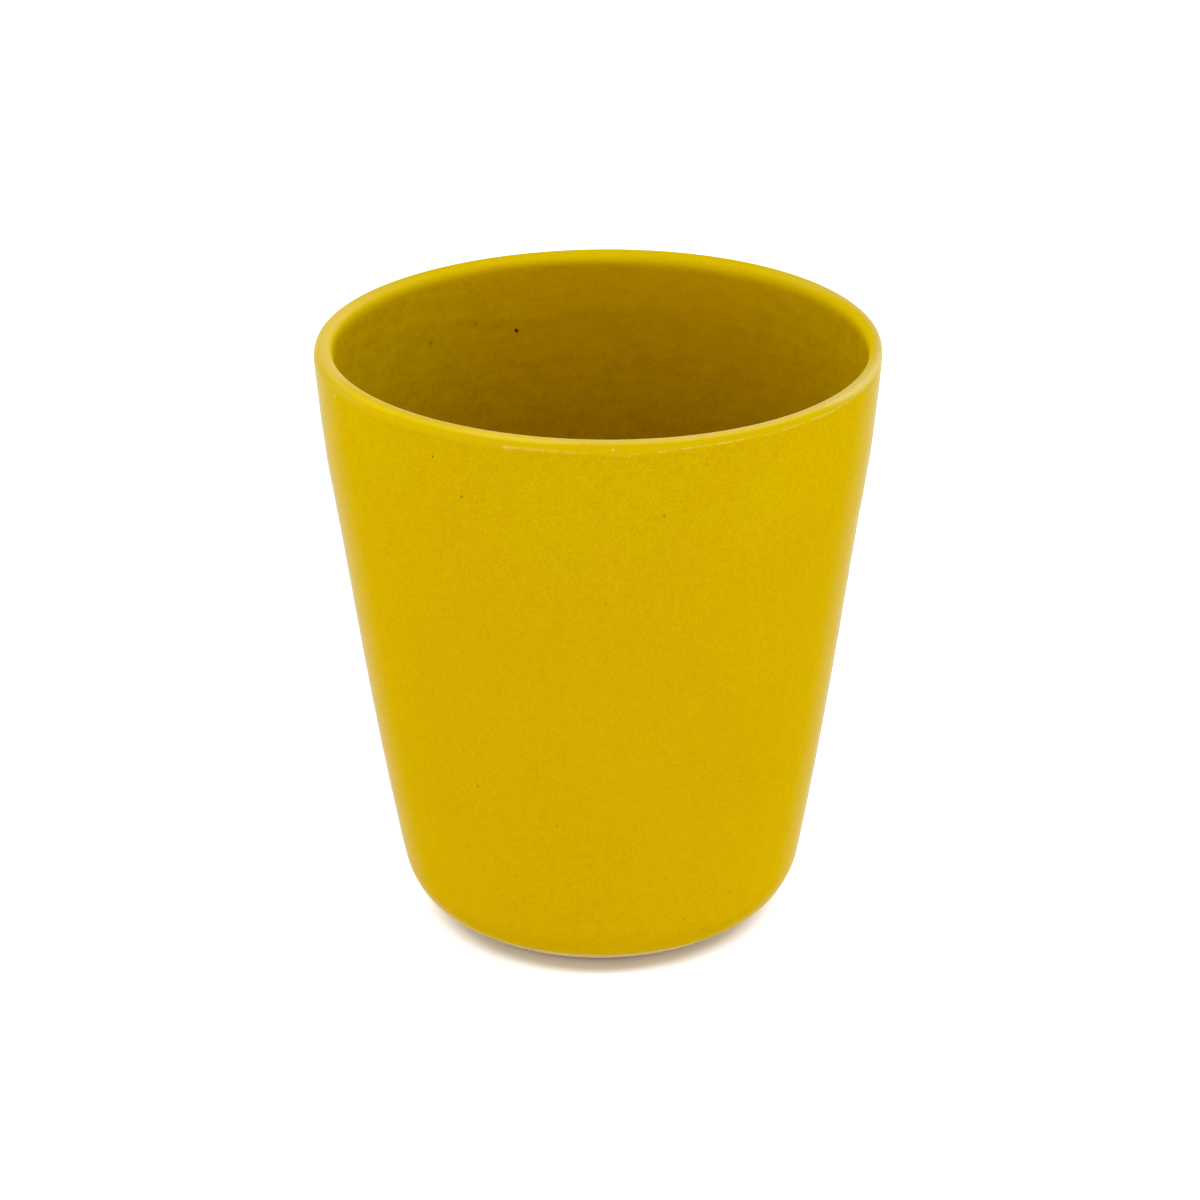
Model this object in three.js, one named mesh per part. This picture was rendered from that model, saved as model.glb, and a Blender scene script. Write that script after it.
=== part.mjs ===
// A ceramic tumbler: one thrown stoneware cup with a satin glaze fused on inside and out.
// Millimetres, +Z up. The origin is on the table, at the middle of the foot.

import * as THREE from 'three';

// Outside of the clay cup
const height = 91.15; // table to the top of the clay lip
const rimRadius = 41.7; // where the wall meets the lip
const footRadius = 20; // outer edge of the flat ring that stands on the table
const heelRadius = 10.5; // round between the foot and the wall
const heelLean = 9.8; // degrees from upright at which the wall leaves the heel

// Underside of the clay cup, turned slightly hollow so that it stands on a ring
const footRingWidth = 5;
const recessDepth = 0.8;
const recessBevel = 1.2;

// Lip, drawn up thin, with a tight round outside its highest line and a softer one down into the cup
const lipOuterWidth = 0.4;
const lipOuterRise = 1.1;
const lipInnerWidth = 1.5;
const lipInnerRise = 2;
const lipTopRun = 1.1; // pull of the nearly level top on the inner round
const lipTopFall = 0.03; // how far that top falls towards the inside
const lipShoulder = 1.7; // pull of the inner wall on the same round

// Inside of the clay cup
const floorThickness = 5;
const wallThickness = 4; // at the foot of the wall, where the cove begins
const coveRadius = 9; // round between the inner floor and the wall

// Glaze coats
const glazeThickness = 0.3;
const glazeLineAngle = 44; // degrees below level on the heel, where the outer glaze was wiped back
const glazeEdgeRun = 0.9; // length over which the wiped edge thins to nothing

// Facets
const facetsAround = 48;
const bareHeelSteps = 4;
const glazedHeelSteps = 6;
const wallSteps = 6;
const lipOuterSteps = 4;
const lipInnerSteps = 5;
const coveSteps = 7;

const stonewareColour = 0xdccbb0;
const glazeColour = 0xd4ae02;

const radians = THREE.MathUtils.degToRad;
const lean = radians(heelLean);
const upTheWall = new THREE.Vector2(Math.sin(lean), Math.cos(lean));
const point = (radius, level) => new THREE.Vector2(radius, level);

// Points after the first one along an arc, with angles counted up from level
function arc(centre, width, rise, from, to, steps) {
  const curve = new THREE.EllipseCurve(centre.x, centre.y, width, rise, from, to, from > to);
  return curve.getPoints(steps).slice(1);
}

// Points after the first one up a wall that leaves its round at the lean and bows gently to the lip
function wall(bottom, top) {
  const reach = bottom.distanceTo(top) / 2;
  const bow = bottom.clone().addScaledVector(upTheWall, reach);
  return new THREE.QuadraticBezierCurve(bottom, bow, top).getPoints(wallSteps).slice(1);
}

// The clay's outline, from the middle of the underside over the lip to the middle of the inner floor
const heelCentre = point(footRadius, heelRadius);
const glazeLine = -radians(glazeLineAngle);
const glazeFull = glazeLine + glazeEdgeRun / heelRadius;
const heelArc = (from, to, steps) => arc(heelCentre, heelRadius, heelRadius, from, to, steps);

const recessRadius = footRadius - footRingWidth;
const underside = [
  point(0, recessDepth),
  point(recessRadius - recessBevel, recessDepth),
  point(recessRadius, 0),
  point(footRadius, 0),
  ...heelArc(-Math.PI / 2, glazeLine, bareHeelSteps),
];

const glazedHeel = [...heelArc(glazeLine, glazeFull, 1), ...heelArc(glazeFull, -lean, glazedHeelSteps)];
const heelTop = glazedHeel.at(-1);
const wallTop = point(rimRadius, height - lipOuterRise);
const outside = [...glazedHeel, ...wall(heelTop, wallTop)];

const crown = point(rimRadius - lipOuterWidth, height);
const lipTop = point(crown.x - lipTopRun, height - lipTopFall);
const lipEnd = point(crown.x - lipInnerWidth, height - lipInnerRise);
const lipCorner = lipEnd.clone().addScaledVector(upTheWall, lipShoulder);
const lip = [
  ...arc(point(crown.x, wallTop.y), lipOuterWidth, lipOuterRise, 0, Math.PI / 2, lipOuterSteps),
  ...new THREE.CubicBezierCurve(crown, lipTop, lipCorner, lipEnd).getPoints(lipInnerSteps).slice(1),
];

const coveLevel = floorThickness + coveRadius;
const coveTopLevel = coveLevel - coveRadius * Math.sin(lean);
const wallRadiusThere = heelTop.x + (coveTopLevel - heelTop.y) * Math.tan(lean);
const coveTop = point(wallRadiusThere - wallThickness / Math.cos(lean), coveTopLevel);
const coveCentre = point(coveTop.x - coveRadius * Math.cos(lean), coveLevel);
const innerWall = [coveTop, ...wall(coveTop, lipEnd)].reverse().slice(1);
const inside = [
  ...innerWall,
  ...arc(coveCentre, coveRadius, coveRadius, -lean, -Math.PI / 2, coveSteps),
  point(0, floorThickness),
];

const clay = [...underside, ...outside, ...lip, ...inside];
const glazeLineAt = underside.length - 1;
const lapLineAt = glazeLineAt + outside.length;

// The glaze surface over one point of the clay, pushed out square to the clay
function glazed(at) {
  const before = clay[Math.max(at - 1, 0)];
  const after = clay[Math.min(at + 1, clay.length - 1)];
  const along = after.clone().sub(before).normalize();
  return clay[at].clone().addScaledVector(point(along.y, -along.x), glazeThickness);
}

function glazedRun(first, last) {
  return Array.from({ length: last - first + 1 }, (_, step) => glazed(first + step));
}

function turned(name, outline, colour, roughness) {
  const geometry = new THREE.LatheGeometry(outline, facetsAround);
  const material = new THREE.MeshStandardMaterial({ color: colour, roughness, metalness: 0 });
  const mesh = new THREE.Mesh(geometry, material);
  mesh.name = name;
  return mesh;
}

// The fired clay, bare on the underside and the lowest part of the heel
function stonewareBody() {
  return turned('stoneware_body', clay, stonewareColour, 0.85);
}

// The outside coat, from its thin wiped edge on the heel up to the lap line under the lip
function outerGlaze() {
  const face = glazedRun(glazeLineAt + 1, lapLineAt);
  const back = clay.slice(glazeLineAt, lapLineAt + 1).reverse();
  return turned('outer_glaze', [clay[glazeLineAt], ...face, ...back], glazeColour, 0.5);
}

// The inside coat, poured in and carried over the lip down to the lap line
function linerGlaze() {
  const last = clay.length - 1;
  const back = clay.slice(lapLineAt).reverse();
  return turned('liner_glaze', [...back, ...glazedRun(lapLineAt, last)], glazeColour, 0.5);
}

// The profiles are turned about Y, so the whole cup is stood up along Z
const tumbler = new THREE.Group();
tumbler.rotation.x = Math.PI / 2;
tumbler.add(stonewareBody(), outerGlaze(), linerGlaze());

export default tumbler;
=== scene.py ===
import math

import bmesh
import bpy
import numpy as np
from mathutils import Matrix, Vector


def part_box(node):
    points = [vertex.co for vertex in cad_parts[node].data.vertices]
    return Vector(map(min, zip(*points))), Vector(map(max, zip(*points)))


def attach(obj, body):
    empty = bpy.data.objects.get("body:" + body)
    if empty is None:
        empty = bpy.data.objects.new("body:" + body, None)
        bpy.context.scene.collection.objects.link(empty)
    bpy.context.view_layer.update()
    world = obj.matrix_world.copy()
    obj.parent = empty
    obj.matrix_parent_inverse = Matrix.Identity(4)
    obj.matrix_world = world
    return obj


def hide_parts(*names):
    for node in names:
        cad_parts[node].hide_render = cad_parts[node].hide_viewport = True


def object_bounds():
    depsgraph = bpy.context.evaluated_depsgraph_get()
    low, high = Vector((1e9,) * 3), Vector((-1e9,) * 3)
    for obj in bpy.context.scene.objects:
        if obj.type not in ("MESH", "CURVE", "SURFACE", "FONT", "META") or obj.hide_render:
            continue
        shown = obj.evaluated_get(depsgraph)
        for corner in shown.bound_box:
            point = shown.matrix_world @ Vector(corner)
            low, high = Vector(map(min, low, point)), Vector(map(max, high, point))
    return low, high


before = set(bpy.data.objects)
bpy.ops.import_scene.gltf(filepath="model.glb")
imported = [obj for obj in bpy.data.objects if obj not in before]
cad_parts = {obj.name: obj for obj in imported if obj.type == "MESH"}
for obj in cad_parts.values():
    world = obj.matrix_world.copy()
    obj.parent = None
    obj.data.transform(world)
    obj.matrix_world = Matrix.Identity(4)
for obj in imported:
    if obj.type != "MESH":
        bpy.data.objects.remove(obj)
cad_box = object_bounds()


# The stoneware cup: one piece of pale buff clay, thrown on a wheel and drawn up to a thin round lip.
# The heel and the foot were turned when the clay was firm, and the foot was left bare in the firing.
# Lengths are in metres, and an outline runs from the middle of the foot over the lip to the inner floor.
clay_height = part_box("stoneware_body")[1].z
rim_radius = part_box("stoneware_body")[1].x
foot_radius = 0.020
heel_radius = 0.0105
lean = math.radians(9.8)
foot_ring_width = 0.005
recess_depth = 0.0008
recess_bevel = 0.0012
turning_pitch = 0.0017
turning_depth = 0.00003
lip_outer_width = 0.0004
lip_inner_width = 0.0015
lip_outer_rise = 0.0011
lip_inner_rise = 0.002
lip_top_run = 0.0011
lip_top_fall = 0.00003
lip_shoulder = 0.0017
floor_thickness = 0.005
wall_thickness = 0.004
cove_radius = 0.009
glaze_line = math.radians(-44)

# Steps round the cup and along each run of its outline. Each wall has coarse points up to a share of its
# height and fine ones from there, given as that share and the two counts.
turns_round = 192
turn = np.linspace(0, 2 * np.pi, turns_round, endpoint=False)
recess_steps = 48
bevel_steps = 6
foot_ring_steps = 16
bare_heel_steps = 12
glazed_heel_steps = 28
outer_wall_points = (0.985, 64, 13)
lip_outer_steps = 12
lip_inner_steps = 20
inner_wall_points = (0.6, 50, 90)
cove_steps = 20
floor_steps = 24


def straight(start, end, steps):
    """Points along a straight run of the outline."""
    return np.linspace(start, end, steps + 1)


def arc(centre, width, rise, start, end, steps):
    """Points along an arc, with angles counted up from level."""
    angle = np.linspace(start, end, steps + 1)
    return np.column_stack((centre[0] + width * np.cos(angle), centre[1] + rise * np.sin(angle)))


def bowed(bottom, top, change, coarse, fine):
    """Points up a wall that leaves its round at the lean and bows gently to the lip."""
    reach = np.linalg.norm(np.subtract(top, bottom)) / 2
    bow = bottom + reach * np.array((math.sin(lean), math.cos(lean)))
    share = np.append(np.linspace(0, change, coarse, endpoint=False), np.linspace(change, 1, fine))[:, None]
    return (1 - share) ** 2 * bottom + 2 * share * (1 - share) * bow + share**2 * top


def curved(start, start_handle, end_handle, end, steps):
    """Points along a smooth curve that leaves and arrives along its handles."""
    share = np.linspace(0, 1, steps + 1)[:, None]
    leaving = (1 - share) ** 3 * np.array(start) + 3 * share * (1 - share) ** 2 * np.array(start_handle)
    return leaving + 3 * share**2 * (1 - share) * np.array(end_handle) + share**3 * np.array(end)


def joined(*runs):
    """One outline from runs that each start where the last one ended."""
    return np.vstack([runs[0]] + [run[1:] for run in runs[1:]])


recess_radius = foot_radius - foot_ring_width
recess = straight((0, recess_depth), (recess_radius - recess_bevel, recess_depth), recess_steps)
recess[1:, 1] += turning_depth * np.sin(2 * np.pi * recess[1:, 0] / turning_pitch)
foot_ring = joined(
    straight(recess[-1], (recess_radius, 0), bevel_steps),
    straight((recess_radius, 0), (foot_radius, 0), foot_ring_steps),
)
heel_centre = (foot_radius, heel_radius)
bare_heel = arc(heel_centre, heel_radius, heel_radius, -np.pi / 2, glaze_line, bare_heel_steps)
underside = joined(recess, foot_ring, bare_heel)

glazed_heel = arc(heel_centre, heel_radius, heel_radius, glaze_line, -lean, glazed_heel_steps)
heel_top = glazed_heel[-1]
wall_top = (rim_radius, clay_height - lip_outer_rise)
outside = joined(glazed_heel, bowed(heel_top, wall_top, *outer_wall_points))

crown = (rim_radius - lip_outer_width, clay_height)
lip_top = (crown[0] - lip_top_run, clay_height - lip_top_fall)
lip_end = (crown[0] - lip_inner_width, clay_height - lip_inner_rise)
lip_corner = (lip_end[0] + lip_shoulder * math.sin(lean), lip_end[1] + lip_shoulder * math.cos(lean))
lip = joined(
    arc((crown[0], wall_top[1]), lip_outer_width, lip_outer_rise, 0, np.pi / 2, lip_outer_steps),
    curved(crown, lip_top, lip_corner, lip_end, lip_inner_steps),
)

cove_level = floor_thickness + cove_radius
cove_top_level = cove_level - cove_radius * math.sin(lean)
wall_radius_there = heel_top[0] + (cove_top_level - heel_top[1]) * math.tan(lean)
cove_top = np.array((wall_radius_there - wall_thickness / math.cos(lean), cove_top_level))
cove_centre = (cove_top[0] - cove_radius * math.cos(lean), cove_level)
inside = joined(
    bowed(cove_top, lip[-1], *inner_wall_points)[::-1],
    arc(cove_centre, cove_radius, cove_radius, -lean, -np.pi / 2, cove_steps),
    straight((cove_centre[0], floor_thickness), (0, floor_thickness), floor_steps),
)

# Throwing by hand left the rim and the foot a little out of round, the rim tipped and wavy, and the lip
# thinner on one side. The wall is slightly full at some levels, given with their reach and their amount.
oval = 0.00009
oval_facing = 29
three_lobes = 0.00022
three_lobes_facing = 6
rim_tip = 0.00051
rim_tip_facing = 188
rim_saddle = 0.00039
rim_saddle_facing = 48
rim_shift = 0.0002
foot_shift = 0.0001
foot_oval = 0.00018
foot_oval_facing = -82
foot_oval_top = 0.0085
bore_shift = (0.00053, 0.00019)
fullness = ((0.0914, 0.0025, -0.00011), (0.0758, 0.0102, 0.00031), (0.026, 0.018, 0.0001))


def wave(bearing, amount, crests, facing):
    """A waver round the cup, with its size, its number of crests and the bearing of one crest in degrees."""
    return amount * np.cos(crests * (bearing - math.radians(facing)))


def thrown(radius, level, inward, bearing=turn):
    """Carries outline points round the cup with its waver; inward is 1 on the inner side of the wall."""
    rise = (level / clay_height) ** 2
    spread = rise * radius / rim_radius
    out_of_round = wave(bearing, oval, 2, oval_facing) + wave(bearing, three_lobes, 3, three_lobes_facing)
    out_of_level = wave(bearing, rim_tip, 1, rim_tip_facing) + wave(bearing, rim_saddle, 2, rim_saddle_facing)
    swell = wave(bearing, foot_oval, 2, foot_oval_facing) * np.exp(-((level / foot_oval_top) ** 4))
    for middle, reach, amount in fullness:
        swell = swell + amount * np.exp(-(((level - middle) / reach) ** 2))
    from_axis = radius + spread * out_of_round + np.minimum(radius / foot_radius, 1) * swell
    x = from_axis * np.cos(bearing) + rise * (rim_shift + inward * bore_shift[0]) + (1 - rise) * foot_shift
    y = from_axis * np.sin(bearing) + rise * inward * bore_shift[1]
    z = level + spread * out_of_level
    return np.stack(np.broadcast_arrays(x, y, z), axis=-1)


def turned_piece(name, places, looped, **marks):
    """A smooth mesh through rings of points, closed on the axis or looped back to its first ring."""
    weld_distance = 1e-8
    sharp_edge = math.radians(50)
    rings = len(places)
    ring, step = np.indices((rings if looped else rings - 1, turns_round))
    beside = (step + 1) % turns_round
    above = (ring + 1) % rings
    corners = ((ring, step), (ring, beside), (above, beside), (above, step))
    faces = np.stack([r * turns_round + s for r, s in corners], axis=-1).reshape(-1, 4)
    mesh = bpy.data.meshes.new(name)
    mesh.from_pydata(places.reshape(-1, 3).tolist(), [], faces.tolist())
    for mark, values in marks.items():
        layer = mesh.attributes.new(mark, "FLOAT", "POINT")
        all_values = np.broadcast_to(values, places.shape[:2])
        layer.data.foreach_set("value", all_values.astype(np.float32).ravel())
    surface = bmesh.new()
    surface.from_mesh(mesh)
    bmesh.ops.remove_doubles(surface, verts=surface.verts, dist=weld_distance)
    surface.to_mesh(mesh)
    surface.free()
    mesh.shade_smooth()
    mesh.set_sharp_from_angle(angle=sharp_edge)
    piece = bpy.data.objects.new(name, mesh)
    bpy.context.scene.collection.objects.link(piece)
    return piece


class Shade:
    """One output of a material's nodes, so that what a surface does is written as plain arithmetic."""

    def __init__(self, tree, socket=None):
        self.tree = tree
        self.socket = socket

    def node(self, kind, settings, inputs, output=0):
        """Adds a node, sets it, fills its inputs with values or links, and gives one of its outputs."""
        made = self.tree.nodes.new(kind)
        for name, value in settings.items():
            setattr(made, name, value)
        for name, value in inputs.items():
            if isinstance(value, Shade):
                self.tree.links.new(value.socket, made.inputs[name])
            else:
                made.inputs[name].default_value = value
        return Shade(self.tree, made.outputs[output] if made.outputs else None)

    def math(self, operation, *values):
        return self.node("ShaderNodeMath", {"operation": operation}, dict(enumerate(values)))

    def vector(self, operation, *values, output="Vector"):
        return self.node("ShaderNodeVectorMath", {"operation": operation}, dict(enumerate(values)), output)

    def __add__(self, other):
        return self.math("ADD", self, other)

    def __sub__(self, other):
        return self.math("SUBTRACT", self, other)

    def __rsub__(self, other):
        return self.math("SUBTRACT", other, self)

    def __mul__(self, other):
        return self.math("MULTIPLY", self, other)

    __radd__ = __add__
    __rmul__ = __mul__

    def __abs__(self):
        return self.math("ABSOLUTE", self)

    def capped(self):
        """This value, but 1 at most."""
        return self.math("MINIMUM", self, 1.0)

    def either(self, other):
        """The larger of two values."""
        return self.math("MAXIMUM", self, other)

    def part(self, axis):
        """How far this position lies along X, Y or Z."""
        return self.node("ShaderNodeSeparateXYZ", {}, {0: self}, axis)

    def step(self, low, high, start=0.0, end=1.0):
        """Goes smoothly from start to end as the value goes from low to high."""
        span = {"Value": self, "From Min": low, "From Max": high, "To Min": start, "To Max": end}
        return self.node("ShaderNodeMapRange", {"interpolation_type": "SMOOTHSTEP"}, span)

    def tint(self, under, over):
        """A colour between two, by this value."""
        return self.node("ShaderNodeMix", {"data_type": "RGBA"}, {0: self, 6: under, 7: over}, 2)

    def blend(self, under, over):
        """A surface between two, by this value."""
        return self.node("ShaderNodeMixShader", {}, {0: self, 1: under, 2: over})

    def noise(self, size, detail, output=0):
        """Cloudy variation over this position, with patches of about the given size."""
        inputs = {"Vector": self, "Scale": 1 / size, "Detail": detail}
        return self.node("ShaderNodeTexNoise", {}, inputs, output)


def bare_finish(name):
    """An empty node material, and the tree that its nodes go in."""
    material = bpy.data.materials.new(name)
    material.use_nodes = True
    material.node_tree.nodes.clear()
    return material, Shade(material.node_tree)


def bare_stoneware():
    """Matt fired clay: pale buff, toasted in places, with fine sand in it and small brown flecks."""
    buff = (0.79, 0.58, 0.345, 1)
    toasted = (0.75, 0.50, 0.26, 1)
    fleck_brown = (0.22, 0.13, 0.08, 1)
    cloud_size = 0.006
    sand_size = 0.0003
    sand_depth = 0.00008
    fleck_size = 0.0009
    fleck_cover = 0.7
    material, clay = bare_finish("bare_stoneware")
    place = clay.node("ShaderNodeTexCoord", {}, {}, "Object")
    colour = place.noise(cloud_size, 3).step(0.35, 0.75).tint(buff, toasted)
    fleck = place.noise(fleck_size, 1).step(0.70, 0.76) * fleck_cover
    colour = fleck.tint(colour, fleck_brown)
    sand = place.noise(sand_size, 2)
    relief = clay.node("ShaderNodeBump", {}, {"Height": sand, "Strength": 0.5, "Distance": sand_depth})
    matt = 0.8 + 0.15 * sand
    finish = {"Base Color": colour, "Roughness": matt, "Specular IOR Level": 0.25, "Normal": relief}
    surface = clay.node("ShaderNodeBsdfPrincipled", {}, finish)
    clay.node("ShaderNodeOutputMaterial", {}, {"Surface": surface})
    return material


clay_line = joined(underside, outside, lip, inside)
lip_start = len(underside) + len(outside) - 2
clay_inward = np.zeros(len(clay_line))
clay_inward[lip_start : lip_start + len(lip)] = np.linspace(0, 1, len(lip))
clay_inward[lip_start + len(lip) :] = 1

stoneware_cup = turned_piece(
    "stoneware_cup", thrown(clay_line[:, :1], clay_line[:, 1:], clay_inward[:, None]), looped=False
)
stoneware_cup.data.materials.append(bare_stoneware())
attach(stoneware_cup, "root")
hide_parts("stoneware_body")


# The outer coat: a satin yellow glaze that the cup was dipped in, fused to the clay in the firing.
# It was wiped back from the foot to a thin rolled edge, and meets the inner coat under the lip in a fine
# pale line that runs at a tilt and sags in places. Iron in the clay came through it as dark specks.
glaze_thickness = 0.0003
glaze_edge_run = 0.0009
edge_waves = ((0.00008, 3, -0.7), (0.00004, 7, 1.9))
edge_tuck = 0.00003
lap_bead_height = 0.00002
lap_bead_width = 0.00018
lap_above_lip = 0.00005
lap_tilt = 0.00033
lap_sags = ((-84, 0.13, 0.0004), (-42, 0.4, 0.00023))
outside_ripple = 0.000012
outside_ripple_pitch = 0.0075


def run_length(line):
    """How far along its outline each point lies."""
    return np.append(0, np.cumsum(np.linalg.norm(np.diff(line, axis=0), axis=1)))[:, None]


def raised(first, last, height):
    """A run of the clay's outline pushed out square to the clay, as its radius and level at each turn."""
    line = clay_line[first:last]
    along = np.gradient(clay_line, axis=0)[first:last]
    along /= np.linalg.norm(along, axis=1)[:, None]
    return line[:, :1] + along[:, 1:] * height, line[:, 1:] - along[:, :1] * height


def all_round(line):
    """A run of the outline as its radius and level, the same at each turn."""
    return [np.broadcast_to(values[:, None], (len(line), turns_round)) for values in line.T]


def ripple(level, amount, pitch):
    """The spiral ridge that the fingers left as the wheel turned."""
    return amount * np.sin(2 * np.pi * level / pitch - turn)


def edge_climb(bearing):
    """How far the wiped edge wanders up the heel, in waves with a size, a number of crests and a start."""
    climb = 0
    for size, crests, start in edge_waves:
        climb = climb + size * (1 + np.cos(crests * bearing + start))
    return climb


def lap_drop(bearing):
    """How far the lap line lies below the foot of the lip; a sag has a facing, a width and a drop."""
    drop = -lap_above_lip - wave(bearing, lap_tilt, 1, 0)
    for facing, width, amount in lap_sags:
        drop += amount * np.exp(2 * (np.cos(bearing - math.radians(facing)) - 1) / width**2)
    return drop


def lap_bead(from_lap):
    """The fine bead where the two coats ran together."""
    return lap_bead_height * np.exp(-((from_lap / lap_bead_width) ** 2))


outer_run = run_length(outside)
outer_from_lip = outer_run - outer_run[-1]
outer_from_lap = outer_from_lip + lap_drop(turn)
edge_roll = np.sqrt(1 - (1 - np.clip((outer_run - edge_climb(turn)) / glaze_edge_run, 0, 1)) ** 2)
outer_ripples = ripple(outside[:, 1:], outside_ripple, outside_ripple_pitch)
outer_height = edge_roll * (glaze_thickness + outer_ripples + edge_tuck) - edge_tuck
outer_height += lap_bead(outer_from_lap)
outer_face = raised(len(underside) - 1, lip_start + 1, outer_height)
outer_back = all_round(outside[:0:-1])

outer_coat = turned_piece(
    "outer_coat",
    thrown(np.vstack((outer_face[0], outer_back[0])), np.vstack((outer_face[1], outer_back[1])), 0),
    looped=True,
    from_lip=np.vstack((outer_from_lip, outer_from_lip[:0:-1])),
    from_lap=np.vstack((outer_from_lap, outer_from_lap[:0:-1])),
)

# Marks are given as a bearing in degrees from +X towards the back, a level, a radius and a strength.
outside_iron = (
    (-123.6, 0.0871, 0.00018, 0.6),
    (-117.5, 0.0817, 0.00026, 0.5),
    (-77.0, 0.0797, 0.00024, 0.42),
    (-121.4, 0.0327, 0.00026, 0.35),
    (-66.7, 0.0096, 0.00024, 0.3),
    (-52.0, 0.0120, 0.00022, 0.25),
    (-88.6, 0.0662, 0.00020, 0.3),
    (-106.7, 0.0605, 0.00024, 0.18),
    (-124.3, 0.0383, 0.00020, 0.3),
    (-88.8, 0.0395, 0.00020, 0.12),
    (-101.2, 0.0280, 0.00020, 0.3),
)
# Pale pimples: small bumps in the glaze, with painted highlights on their tops.
outside_pale = (
    (-107.9, 0.0904, 0.00026, 0.6),
    (-107.2, 0.0904, 0.00026, 0.45),
    (-154.2, 0.0899, 0.00030, 0.5),
)
# Where the pale lap line is brighter: partly lighter glaze where the coats overlap, partly a painted
# highlight on the bead.
lap_bright = ((-101, 0.0902, 0.0065, 0.28), (-66, 0.0902, 0.013, 0.27), (-33, 0.0902, 0.012, 0.22))


def on_surface(line, bearing, level, inward):
    """The point of a turned surface at a bearing in degrees and a level."""
    order = np.argsort(line[:, 1])
    radius = np.interp(level, line[order, 1], line[order, 0]) + glaze_thickness
    lifted = thrown(radius, level, inward, math.radians(bearing))[2] - level
    x, y, _ = thrown(radius - lifted * math.sin(lean), level, inward, math.radians(bearing))
    return (x, y, level)


def marks_on(line, inward, marks):
    """Marks in their places on a turned surface, each as its place, its radius and its strength."""
    placed = []
    for bearing, level, radius, strength in marks:
        placed.append((on_surface(line, bearing, level, inward), radius, strength))
    return placed


def outside_marks(marks):
    """Marks in their places on the outside of the cup."""
    return marks_on(outside, 0, marks)


def spots(place, marks):
    """How far each point is covered by marks, which are full at the core and fade past the radius."""
    core = 0.5
    faded = 1.3
    cover = []
    for centre, radius, strength in marks:
        away = place.vector("DISTANCE", place, centre, output="Value")
        cover.append(away.step(radius * core, radius * faded, strength, 0.0))
    return sum(cover)


def ragged(place):
    """This position shoved about a little, so that the marks placed by it have ragged edges."""
    patch_size = 0.0006
    shove_reach = (0.0004, 0.0004, 0.0004)
    shove = place.vector("SUBTRACT", place.noise(patch_size, 1, "Color"), (0.5, 0.5, 0.5))
    return place.vector("MULTIPLY_ADD", shove, shove_reach, place)


def satin_glaze(name, tones, iron_marks, pale_marks, lap_marks, unseen):
    """Satin yellow glaze: faintly clouded and grained, with iron specks, pale pimples and a pale lap line,
    each pale mark partly a painted highlight.
    """
    olive = (0.50, 0.31, 0.001, 1)
    cream = (0.90, 0.68, 0.22, 1)
    iron = (0.035, 0.022, 0.006, 1)
    cloud_size = 0.024
    mottle_size = 0.0012
    grain_size = 0.00024
    stain_size = 0.0012
    stain_cover = 0.2
    wander_size = 0.004
    wander_reach = 0.0004
    lap_core = 0.00005
    lap_end = 0.00016
    lap_gap_size = 0.0011
    lap_least = 0.02
    specks_per_metre = 110
    relief_depth = 0.00005
    gloss_fades = 0.0017
    gloss_ends = 0.0026
    material, glaze = bare_finish(name)
    place = glaze.node("ShaderNodeTexCoord", {}, {}, "Object")
    from_lip = glaze.node("ShaderNodeAttribute", {"attribute_name": "from_lip"}, {}, "Fac")
    from_lap = glaze.node("ShaderNodeAttribute", {"attribute_name": "from_lap"}, {}, "Fac")
    mottle = place.noise(mottle_size, 2)
    grain = place.noise(grain_size, 2)
    tone = place.noise(cloud_size, 2) * 0.12 + mottle * 0.2 + grain * 0.68
    colour = tones(place, from_lip, from_lap, tone.step(0.34, 0.66))
    stain = place.noise(stain_size, 1).step(0.66, 0.78) * stain_cover
    colour = stain.tint(colour, olive)

    # The pale lap line is partly the glaze's own lighter colour at the overlap and partly a painted highlight
    # along the fine bead.
    wander = (place.noise(wander_size, 2) - 0.5) * wander_reach
    lap = abs(from_lap + wander).step(lap_core, lap_end, 1, 0)
    broken = place.noise(lap_gap_size, 2).step(0.40, 0.54)
    pimples = spots(place, pale_marks)
    pale = lap * broken * (spots(place, lap_marks) + lap_least) + pimples
    colour = pale.capped().tint(colour, cream)

    shoved = ragged(place)
    cell = place.node("ShaderNodeTexVoronoi", {}, {"Vector": shoved, "Scale": specks_per_metre}, "Distance")
    scattered = cell.step(0.020, 0.034, 1, 0) * unseen(place) * abs(from_lap).step(0.004, 0.005)
    dark = spots(shoved, iron_marks) + scattered
    colour = dark.capped().tint(colour, iron)

    height = mottle * 0.6 + grain * 0.4 + pimples * 2
    relief = glaze.node("ShaderNodeBump", {}, {"Height": height, "Strength": 0.35, "Distance": relief_depth})
    finish = {"Base Color": colour, "Roughness": 0.36 + 0.1 * mottle, "Normal": relief}
    matt = {"Specular IOR Level": 0.0}
    satin = {"Specular IOR Level": 0.005, "Sheen Weight": 1.0, "Sheen Roughness": 0.175}
    face_on = glaze.node("ShaderNodeBsdfPrincipled", {}, finish | matt)
    shallow = glaze.node("ShaderNodeBsdfPrincipled", {}, finish | satin)
    grazing = glaze.node("ShaderNodeLayerWeight", {}, {"Blend": 0.5}, "Facing").step(0.605, 0.785)
    outer_side = from_lip.step(gloss_fades, gloss_ends, 1, 0)
    surface = (grazing * outer_side).blend(face_on, shallow)
    glaze.node("ShaderNodeOutputMaterial", {}, {"Surface": surface})
    return material


def at_the_back(place):
    """1 on the far side of the outside, where iron specks are scattered."""
    return place.part("Y").step(0.004, 0.010)


deep_yellow = (0.60, 0.362, 0.0003, 1)
bright_yellow = (0.69, 0.450, 0.0005, 1)
high_yellow = (0.69, 0.478, 0.0005, 1)
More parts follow.
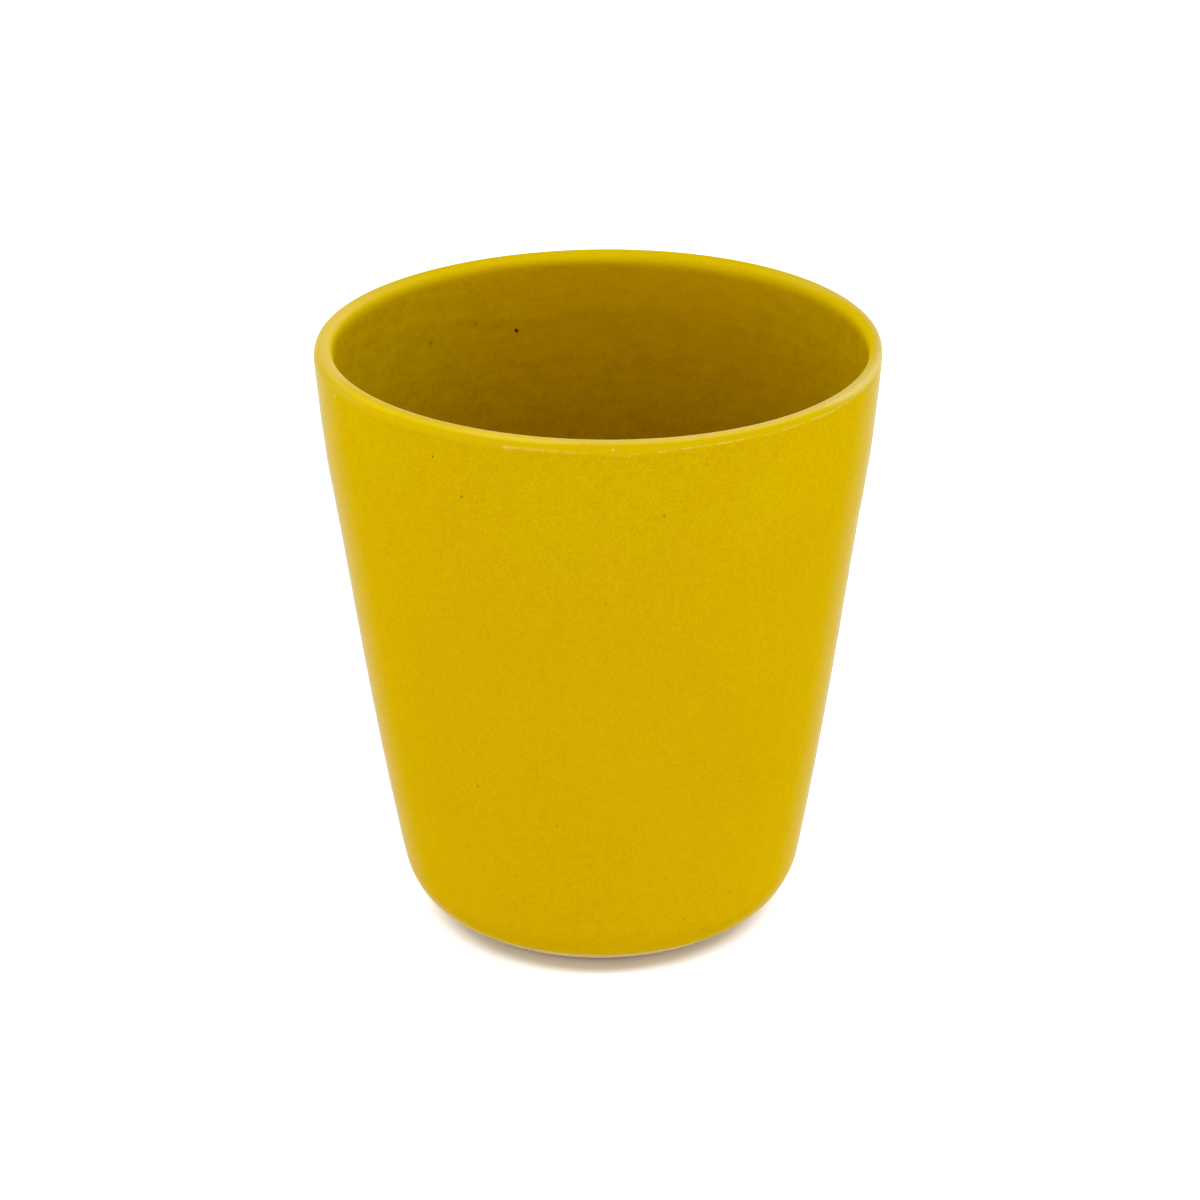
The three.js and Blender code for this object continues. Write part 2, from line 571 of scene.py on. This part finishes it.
# The side yellows are a painted sheen where the wall turns away at the cup's two sides.
sheen_side_deep_yellow = (0.635, 0.445, 0.0005, 1)
sheen_side_yellow = (0.72, 0.525, 0.0005, 1)
lap_yellow = (0.68, 0.458, 0.0005, 1)
lap_side_yellow = (0.645, 0.452, 0.0005, 1)
# The edge yellow is partly the glaze thinning at its wiped edge and partly a painted sheen along the heel.
thin_edge_and_sheen_yellow = (0.74, 0.60, 0.004, 1)


def lap_tone(across):
    """The even yellow on both sides of the lap line, a little duller towards +X."""
    return across.step(0.004, 0.030).tint(lap_yellow, lap_side_yellow)


def outer_tones(place, from_lip, from_lap, tone):
    """One yellow, greener towards the lip, greener at two sides as painted sheen, and paler near the foot
    from thin glaze and painted sheen.
    """
    across = place.part("X")
    away = place.part("Y")
    level = place.part("Z")
    bright = from_lip.step(-0.035, -0.002).tint(bright_yellow, high_yellow)
    wall = tone.tint(deep_yellow, bright)
    # Painted sheen: the two sides, where the wall turns away from the front, are made greener.
    sides = abs(away).step(0.008, 0.028, 1.0, 0.0) * across.step(-0.01, 0.01, 0.4, 0.6)
    wall = sides.tint(wall, tone.tint(sheen_side_deep_yellow, sheen_side_yellow))
    wall = from_lap.step(-0.0006, 0.0002).tint(wall, lap_tone(across))
    # Paler near the foot: partly thin glaze at the wiped edge, partly a painted sheen along the heel.
    return level.step(0.0033, 0.0062, 0.35, 0.0).tint(wall, thin_edge_and_sheen_yellow)


outer_coat.data.materials.append(
    satin_glaze(
        "outer_glaze",
        outer_tones,
        outside_marks(outside_iron),
        outside_marks(outside_pale),
        outside_marks(lap_bright),
        at_the_back,
    )
)
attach(outer_coat, "root")
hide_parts("outer_glaze")


# The liner coat: the same satin glaze, poured into the cup, swilled round and tipped out over the lip.
# It covers the floor, the inner wall and the lip, and stops just below the lip in the pale line.
# Faint throwing rings and one slanting ridge show through it, and a large iron speck on the far wall.
liner_ripple = 0.00003
liner_ripple_pitch = 0.0072
liner_ripple_fade = 0.004
ridge_height = 0.0001
ridge_width = 0.0008
ridge_facings = np.radians((105.5, 157.5))
ridge_levels = (0.0813, 0.0862)
ridge_start = math.radians(98)
ridge_end = math.radians(164)
ridge_taper = 0.14

liner_line = joined(lip, inside)
liner_levels = liner_line[:, 1:]
liner_from_lip = run_length(liner_line)
liner_from_lap = liner_from_lip + lap_drop(turn)
inner_side = np.arange(len(liner_line))[:, None] >= len(lip) // 2
below_lip = np.clip((clay_height - lip_inner_rise - liner_levels) / liner_ripple_fade, 0, 1)
above_floor = np.clip((liner_levels - floor_thickness) / liner_ripple_fade, 0, 1)
liner_ripples = ripple(liner_levels, liner_ripple, liner_ripple_pitch) * below_lip * above_floor
ridge_line = np.interp(turn, ridge_facings, ridge_levels)
ridge_ends = np.clip(np.minimum(turn - ridge_start, ridge_end - turn) / ridge_taper, 0, 1)
ridge = ridge_height * np.exp(-(((liner_levels - ridge_line) / ridge_width) ** 2)) * ridge_ends
liner_height = glaze_thickness + (liner_ripples + ridge) * inner_side + lap_bead(liner_from_lap)
liner_face = raised(lip_start, None, liner_height)
liner_back = all_round(liner_line[::-1])
liner_inward = np.minimum(np.arange(len(liner_line)) / (len(lip) - 1), 1)[:, None]

liner_coat = turned_piece(
    "liner_coat",
    thrown(
        np.vstack((liner_back[0], liner_face[0])),
        np.vstack((liner_back[1], liner_face[1])),
        np.vstack((liner_inward[::-1], liner_inward)),
    ),
    looped=False,
    from_lip=np.vstack((liner_from_lip[::-1], liner_from_lip)),
    from_lap=np.vstack((liner_from_lap[::-1], liner_from_lap)),
)

inside_iron = (
    (109.7, 0.0798, 0.00038, 1.0),
    (132.8, 0.0808, 0.00046, 0.28),
    (120.3, 0.0872, 0.00036, 0.16),
    (120.0, 0.0819, 0.00040, 0.24),
    (97.0, 0.0629, 0.00060, 0.14),
)
inside_pale = (
    (126.8, 0.0717, 0.0003, 0.08),
    (43.2, 0.0728, 0.0003, 0.08),
    (88.8, 0.0696, 0.0003, 0.08),
    (109.8, 0.0781, 0.0004, 0.05),
)
lip_pale = ((-87.1, 0.0905, 0.00022, 0.5), (-133.5, 0.0912, 0.00018, 0.5))
# Spots where the painted highlight along the crown is weaker or yellower.
weaker_highlight_spot = ((-135, 0.0912, 0.014, 0.55),)
yellower_highlight_spot = ((-110, 0.0915, 0.011, 1.0),)


def inside_marks(marks):
    """Marks in their places on the inner wall."""
    return marks_on(inside - np.array((2 * glaze_thickness, 0)), 1, marks)


def out_of_sight(place):
    """1 on the near inner wall and deep in the cup, where iron specks are scattered."""
    near_side = place.part("Y").step(-0.004, 0.004, 1, 0)
    deep_down = place.part("Z").step(0.052, 0.060, 1, 0)
    return near_side.either(deep_down)


# The inner wall's honeys are painted shade: far deeper than the glaze outside, lighter and greener at the
# sides and lower down, yellow again near the floor.
far_honey = (0.53, 0.305, 0.0004, 1)
side_honey = (0.52, 0.370, 0.0004, 1)
low_honey = (0.59, 0.340, 0.0004, 1)
low_side_honey = (0.61, 0.375, 0.0004, 1)
floor_yellow = (0.70, 0.46, 0.0005, 1)
deep_honey = (0.42, 0.232, 0.0002, 1)
# The lip's lighter yellows are painted light on its top, its creams a painted highlight along the crown, and
# the dull yellow painted shade.
lip_yellow = (0.82, 0.585, 0.001, 1)
lit_left_lip_yellow = (0.87, 0.61, 0.002, 1)
crown_highlight_cream = (0.95, 0.69, 0.135, 1)
yellower_highlight_cream = (0.95, 0.68, 0.055, 1)
right_highlight_cream = (0.84, 0.655, 0.22, 1)
lip_end_shade_yellow = (0.58, 0.48, 0.08, 1)
streak_size = 0.0016
streak_stretch = (0.4, 0.4, 1)


def wall_tones(place, from_lip, tone, left):
    """Painted shade on the inner wall: a deep, streaked yellow, greener at the sides and lighter lower down,
    with a painted shadow below the lip.
    """
    sides = left + place.part("X").step(0.018, 0.042, 0, 0.7)
    wall = sides.tint(far_honey, side_honey)
    wall = from_lip.step(0.006, 0.034).tint(wall, left.tint(low_honey, low_side_honey))
    wall = from_lip.step(0.045, 0.075).tint(wall, floor_yellow)
    streak = place.vector("MULTIPLY", place, streak_stretch).noise(streak_size, 2)
    # Painted shadow just under the lip on the left; the streaks are the glaze's own.
    shade_under_lip = from_lip.step(0.0036, 0.0050) * from_lip.step(0.0060, 0.0130, 1, 0) * left
    return (shade_under_lip * 0.25 + 1.2 - 0.7 * tone - streak).tint(wall, deep_honey)


def lip_tones(place, from_lip, tone, left):
    """Painted light on the lip: a lighter top, a painted cream highlight along the crown, and painted shade
    dulling its outer face at two sides.
    """
    across = place.part("X")
    away = place.part("Y")
    near_left = left * across.step(-0.041, -0.031) * away.step(-0.012, 0.004, 1, 0)
    # Painted light: the lip's top is lighter than the wall below it.
    lip_lit = (from_lip + near_left * 0.0003).step(0.0007, 0.0013) * 0.8 + tone * 0.2
    lip_tone = lip_lit.tint(lap_tone(across), near_left.tint(lip_yellow, lit_left_lip_yellow))

    # Painted highlight: cream along the crown, greyer towards +X, weaker or yellower at the listed spots.
    yellower = spots(place, outside_marks(yellower_highlight_spot))
    cream = across.step(0.022, 0.040).tint(crown_highlight_cream, right_highlight_cream)
    cream = yellower.tint(cream, yellower_highlight_cream)
    from_edge = from_lip + across.step(0.030, 0.041) * 0.0008
    crown_highlight = (from_edge + yellower * 0.00025).step(0.0008, 0.0014) * from_edge.step(0.0019, 0.0029, 1, 0)
    highlight_strength = away.step(0.008, 0.034, 0.75, 0.0) - spots(place, outside_marks(weaker_highlight_spot))
    lip_tone = (crown_highlight * highlight_strength).tint(lip_tone, cream)

    # Painted shade: the lip's outer face is dulled at the cup's two sides.
    shaded_lip_ends = abs(across).step(0.030, 0.040, 0.0, 0.35) * away.step(-0.003, 0.005, 1, 0)
    return (shaded_lip_ends * from_lip.step(0.0005, 0.0014, 1, 0)).tint(lip_tone, lip_end_shade_yellow)


def liner_tones(place, from_lip, from_lap, tone):
    """A lighter yellow on the lip and a much deeper one on the wall below: painted light on the lip and
    painted shade inside the cup.
    """
    across = place.part("X")
    left = across.step(-0.036, -0.006, 1, 0)
    down = from_lip + place.part("Y").step(-0.034, 0.0, -0.0014, 0.0)
    lip_ends = across.step(-0.020, 0.0, 0.0021, 0.0025)
    wall_starts = across.step(-0.010, 0.020, 0.0041, 0.0047)
    # Where the painted light of the lip gives way to the painted shade of the inner wall.
    on_lip = down.step(lip_ends, wall_starts, 1, 0)
    return on_lip.tint(wall_tones(place, from_lip, tone, left), lip_tones(place, from_lip, tone, left))


liner_coat.data.materials.append(
    satin_glaze(
        "liner_glaze",
        liner_tones,
        inside_marks(inside_iron),
        outside_marks(outside_pale + lip_pale) + inside_marks(inside_pale),
        outside_marks(lap_bright),
        out_of_sight,
    )
)
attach(liner_coat, "root")
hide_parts("liner_glaze")


# The table: a plain white sheet of matt paper that the cup stands on, wide enough to reach the far white.
# It shows as white to the eye; close round the foot a painted shadow darkens it over the soft shadow rendered
# under the heel.
table_reach = 4.0
table_white = (0.90, 0.90, 0.95, 1)
table_clouded = (0.89, 0.89, 0.94, 1)
table_shaded = (0.86, 0.87, 0.79, 1)
table_contact_shade = (0.72, 0.75, 0.62, 1)
sheet_cloud_size = 0.05
contact_start = 0.0230
contact_end = 0.0237
shadow_start = 0.0260
shadow_end = 0.0290
shadow_softening = 0.06
shadow_narrowing = 1.045
shadow_shift = 0.0001
open_lift = 0.65


def seen_directly(shade):
    """1 for what the eye sees straight, in a reflection or through glass, and 0 for light that only falls."""
    straight_on = shade.node("ShaderNodeLightPath", {}, {}, "Is Camera Ray")
    reflected = shade.node("ShaderNodeLightPath", {}, {}, "Is Glossy Ray")
    through = shade.node("ShaderNodeLightPath", {}, {}, "Is Transmission Ray")
    return straight_on.either(reflected.either(through))


def white_sheet():
    """Matt white paper, lifted to full white for the eye except close to the foot, where a painted shadow
    darkens it.
    """
    material, sheet = bare_finish("white_sheet")
    place = sheet.node("ShaderNodeTexCoord", {}, {}, "Object")
    narrowed = place.vector("MULTIPLY_ADD", place, (shadow_narrowing, 1, 1), (shadow_shift, 0, 0))
    from_axis = narrowed.vector("LENGTH", narrowed, output="Value")
    softer = abs(place.part("X")) * shadow_softening
    open_sheet = from_axis.step(shadow_start - softer, shadow_end + softer)
    # Painted shadow: darker paper colours close round the foot, darkest at the contact.
    shaded = from_axis.step(contact_start, contact_end).tint(table_contact_shade, table_shaded)
    clear = place.noise(sheet_cloud_size, 2).step(0.3, 0.7).tint(table_clouded, table_white)
    paper = {"Base Color": open_sheet.tint(shaded, clear), "Roughness": 1.0, "Specular IOR Level": 0.0}
    lift = {"Emission Color": open_sheet * open_lift * seen_directly(sheet), "Emission Strength": 1.0}
    surface = sheet.node("ShaderNodeBsdfPrincipled", {}, paper | lift)
    sheet.node("ShaderNodeOutputMaterial", {}, {"Surface": surface})
    return material


table_mesh = bpy.data.meshes.new("table")
table_corners = [(x * table_reach, y * table_reach, 0) for x, y in ((-1, -1), (1, -1), (1, 1), (-1, 1))]
table_mesh.from_pydata(table_corners, [], [(0, 1, 2, 3)])
table_mesh.materials.append(white_sheet())
table = bpy.data.objects.new("table", table_mesh)
bpy.context.scene.collection.objects.link(table)


# The light: a white room all round, bright towards the level and the two sides, and dimmer overhead.
# It is the only light, so the shadows are soft, and to the eye the room itself is plain white.
level_light = 1.71
overhead_light = 0.34
side_gain = 0.40
right_gain = 0.03

room = bpy.data.worlds.new("white_room")
room.use_nodes = True
room.node_tree.nodes.clear()
bpy.context.scene.world = room
sky = Shade(room.node_tree)
direction = sky.node("ShaderNodeTexCoord", {}, {}, "Generated")
sideways = direction.part("X")
side_light = 1 + sideways * (sideways * side_gain + right_gain)
glow = direction.part("Z").step(0.0, 1.0, level_light, overhead_light) * side_light
seen = seen_directly(sky)
strength = seen + (1 - seen) * glow
white = sky.node("ShaderNodeBackground", {}, {"Color": (1, 1, 1, 1), "Strength": strength})
sky.node("ShaderNodeOutputWorld", {}, {"Surface": white})
bpy.context.scene.view_settings.view_transform = "Standard"


# The camera: an arm's length from the cup, about 0.3 m above the table and looking down at it.
# It is tipped a hair, and aimed a little above the middle of the cup.
view_elevation = math.radians(24.2)
view_distance = 0.6
view_aim = Vector((0.00027, 0, 0.04931))
view_roll = math.radians(-0.644)
view_lens = 118.04
view_sensor = 36

middle = (Vector(cad_box[0]) + Vector(cad_box[1])) / 2
eye = middle + view_distance * Vector((0, -math.cos(view_elevation), math.sin(view_elevation)))
eye.x = 0
camera_data = bpy.data.cameras.new("camera")
camera_data.lens = view_lens
camera_data.sensor_width = view_sensor
camera = bpy.data.objects.new("camera", camera_data)
upright = (eye - view_aim).to_track_quat("Z", "Y").to_matrix()
camera.matrix_world = Matrix.Translation(eye) @ (upright @ Matrix.Rotation(view_roll, 3, "Z")).to_4x4()
bpy.context.scene.collection.objects.link(camera)
bpy.context.scene.camera = camera
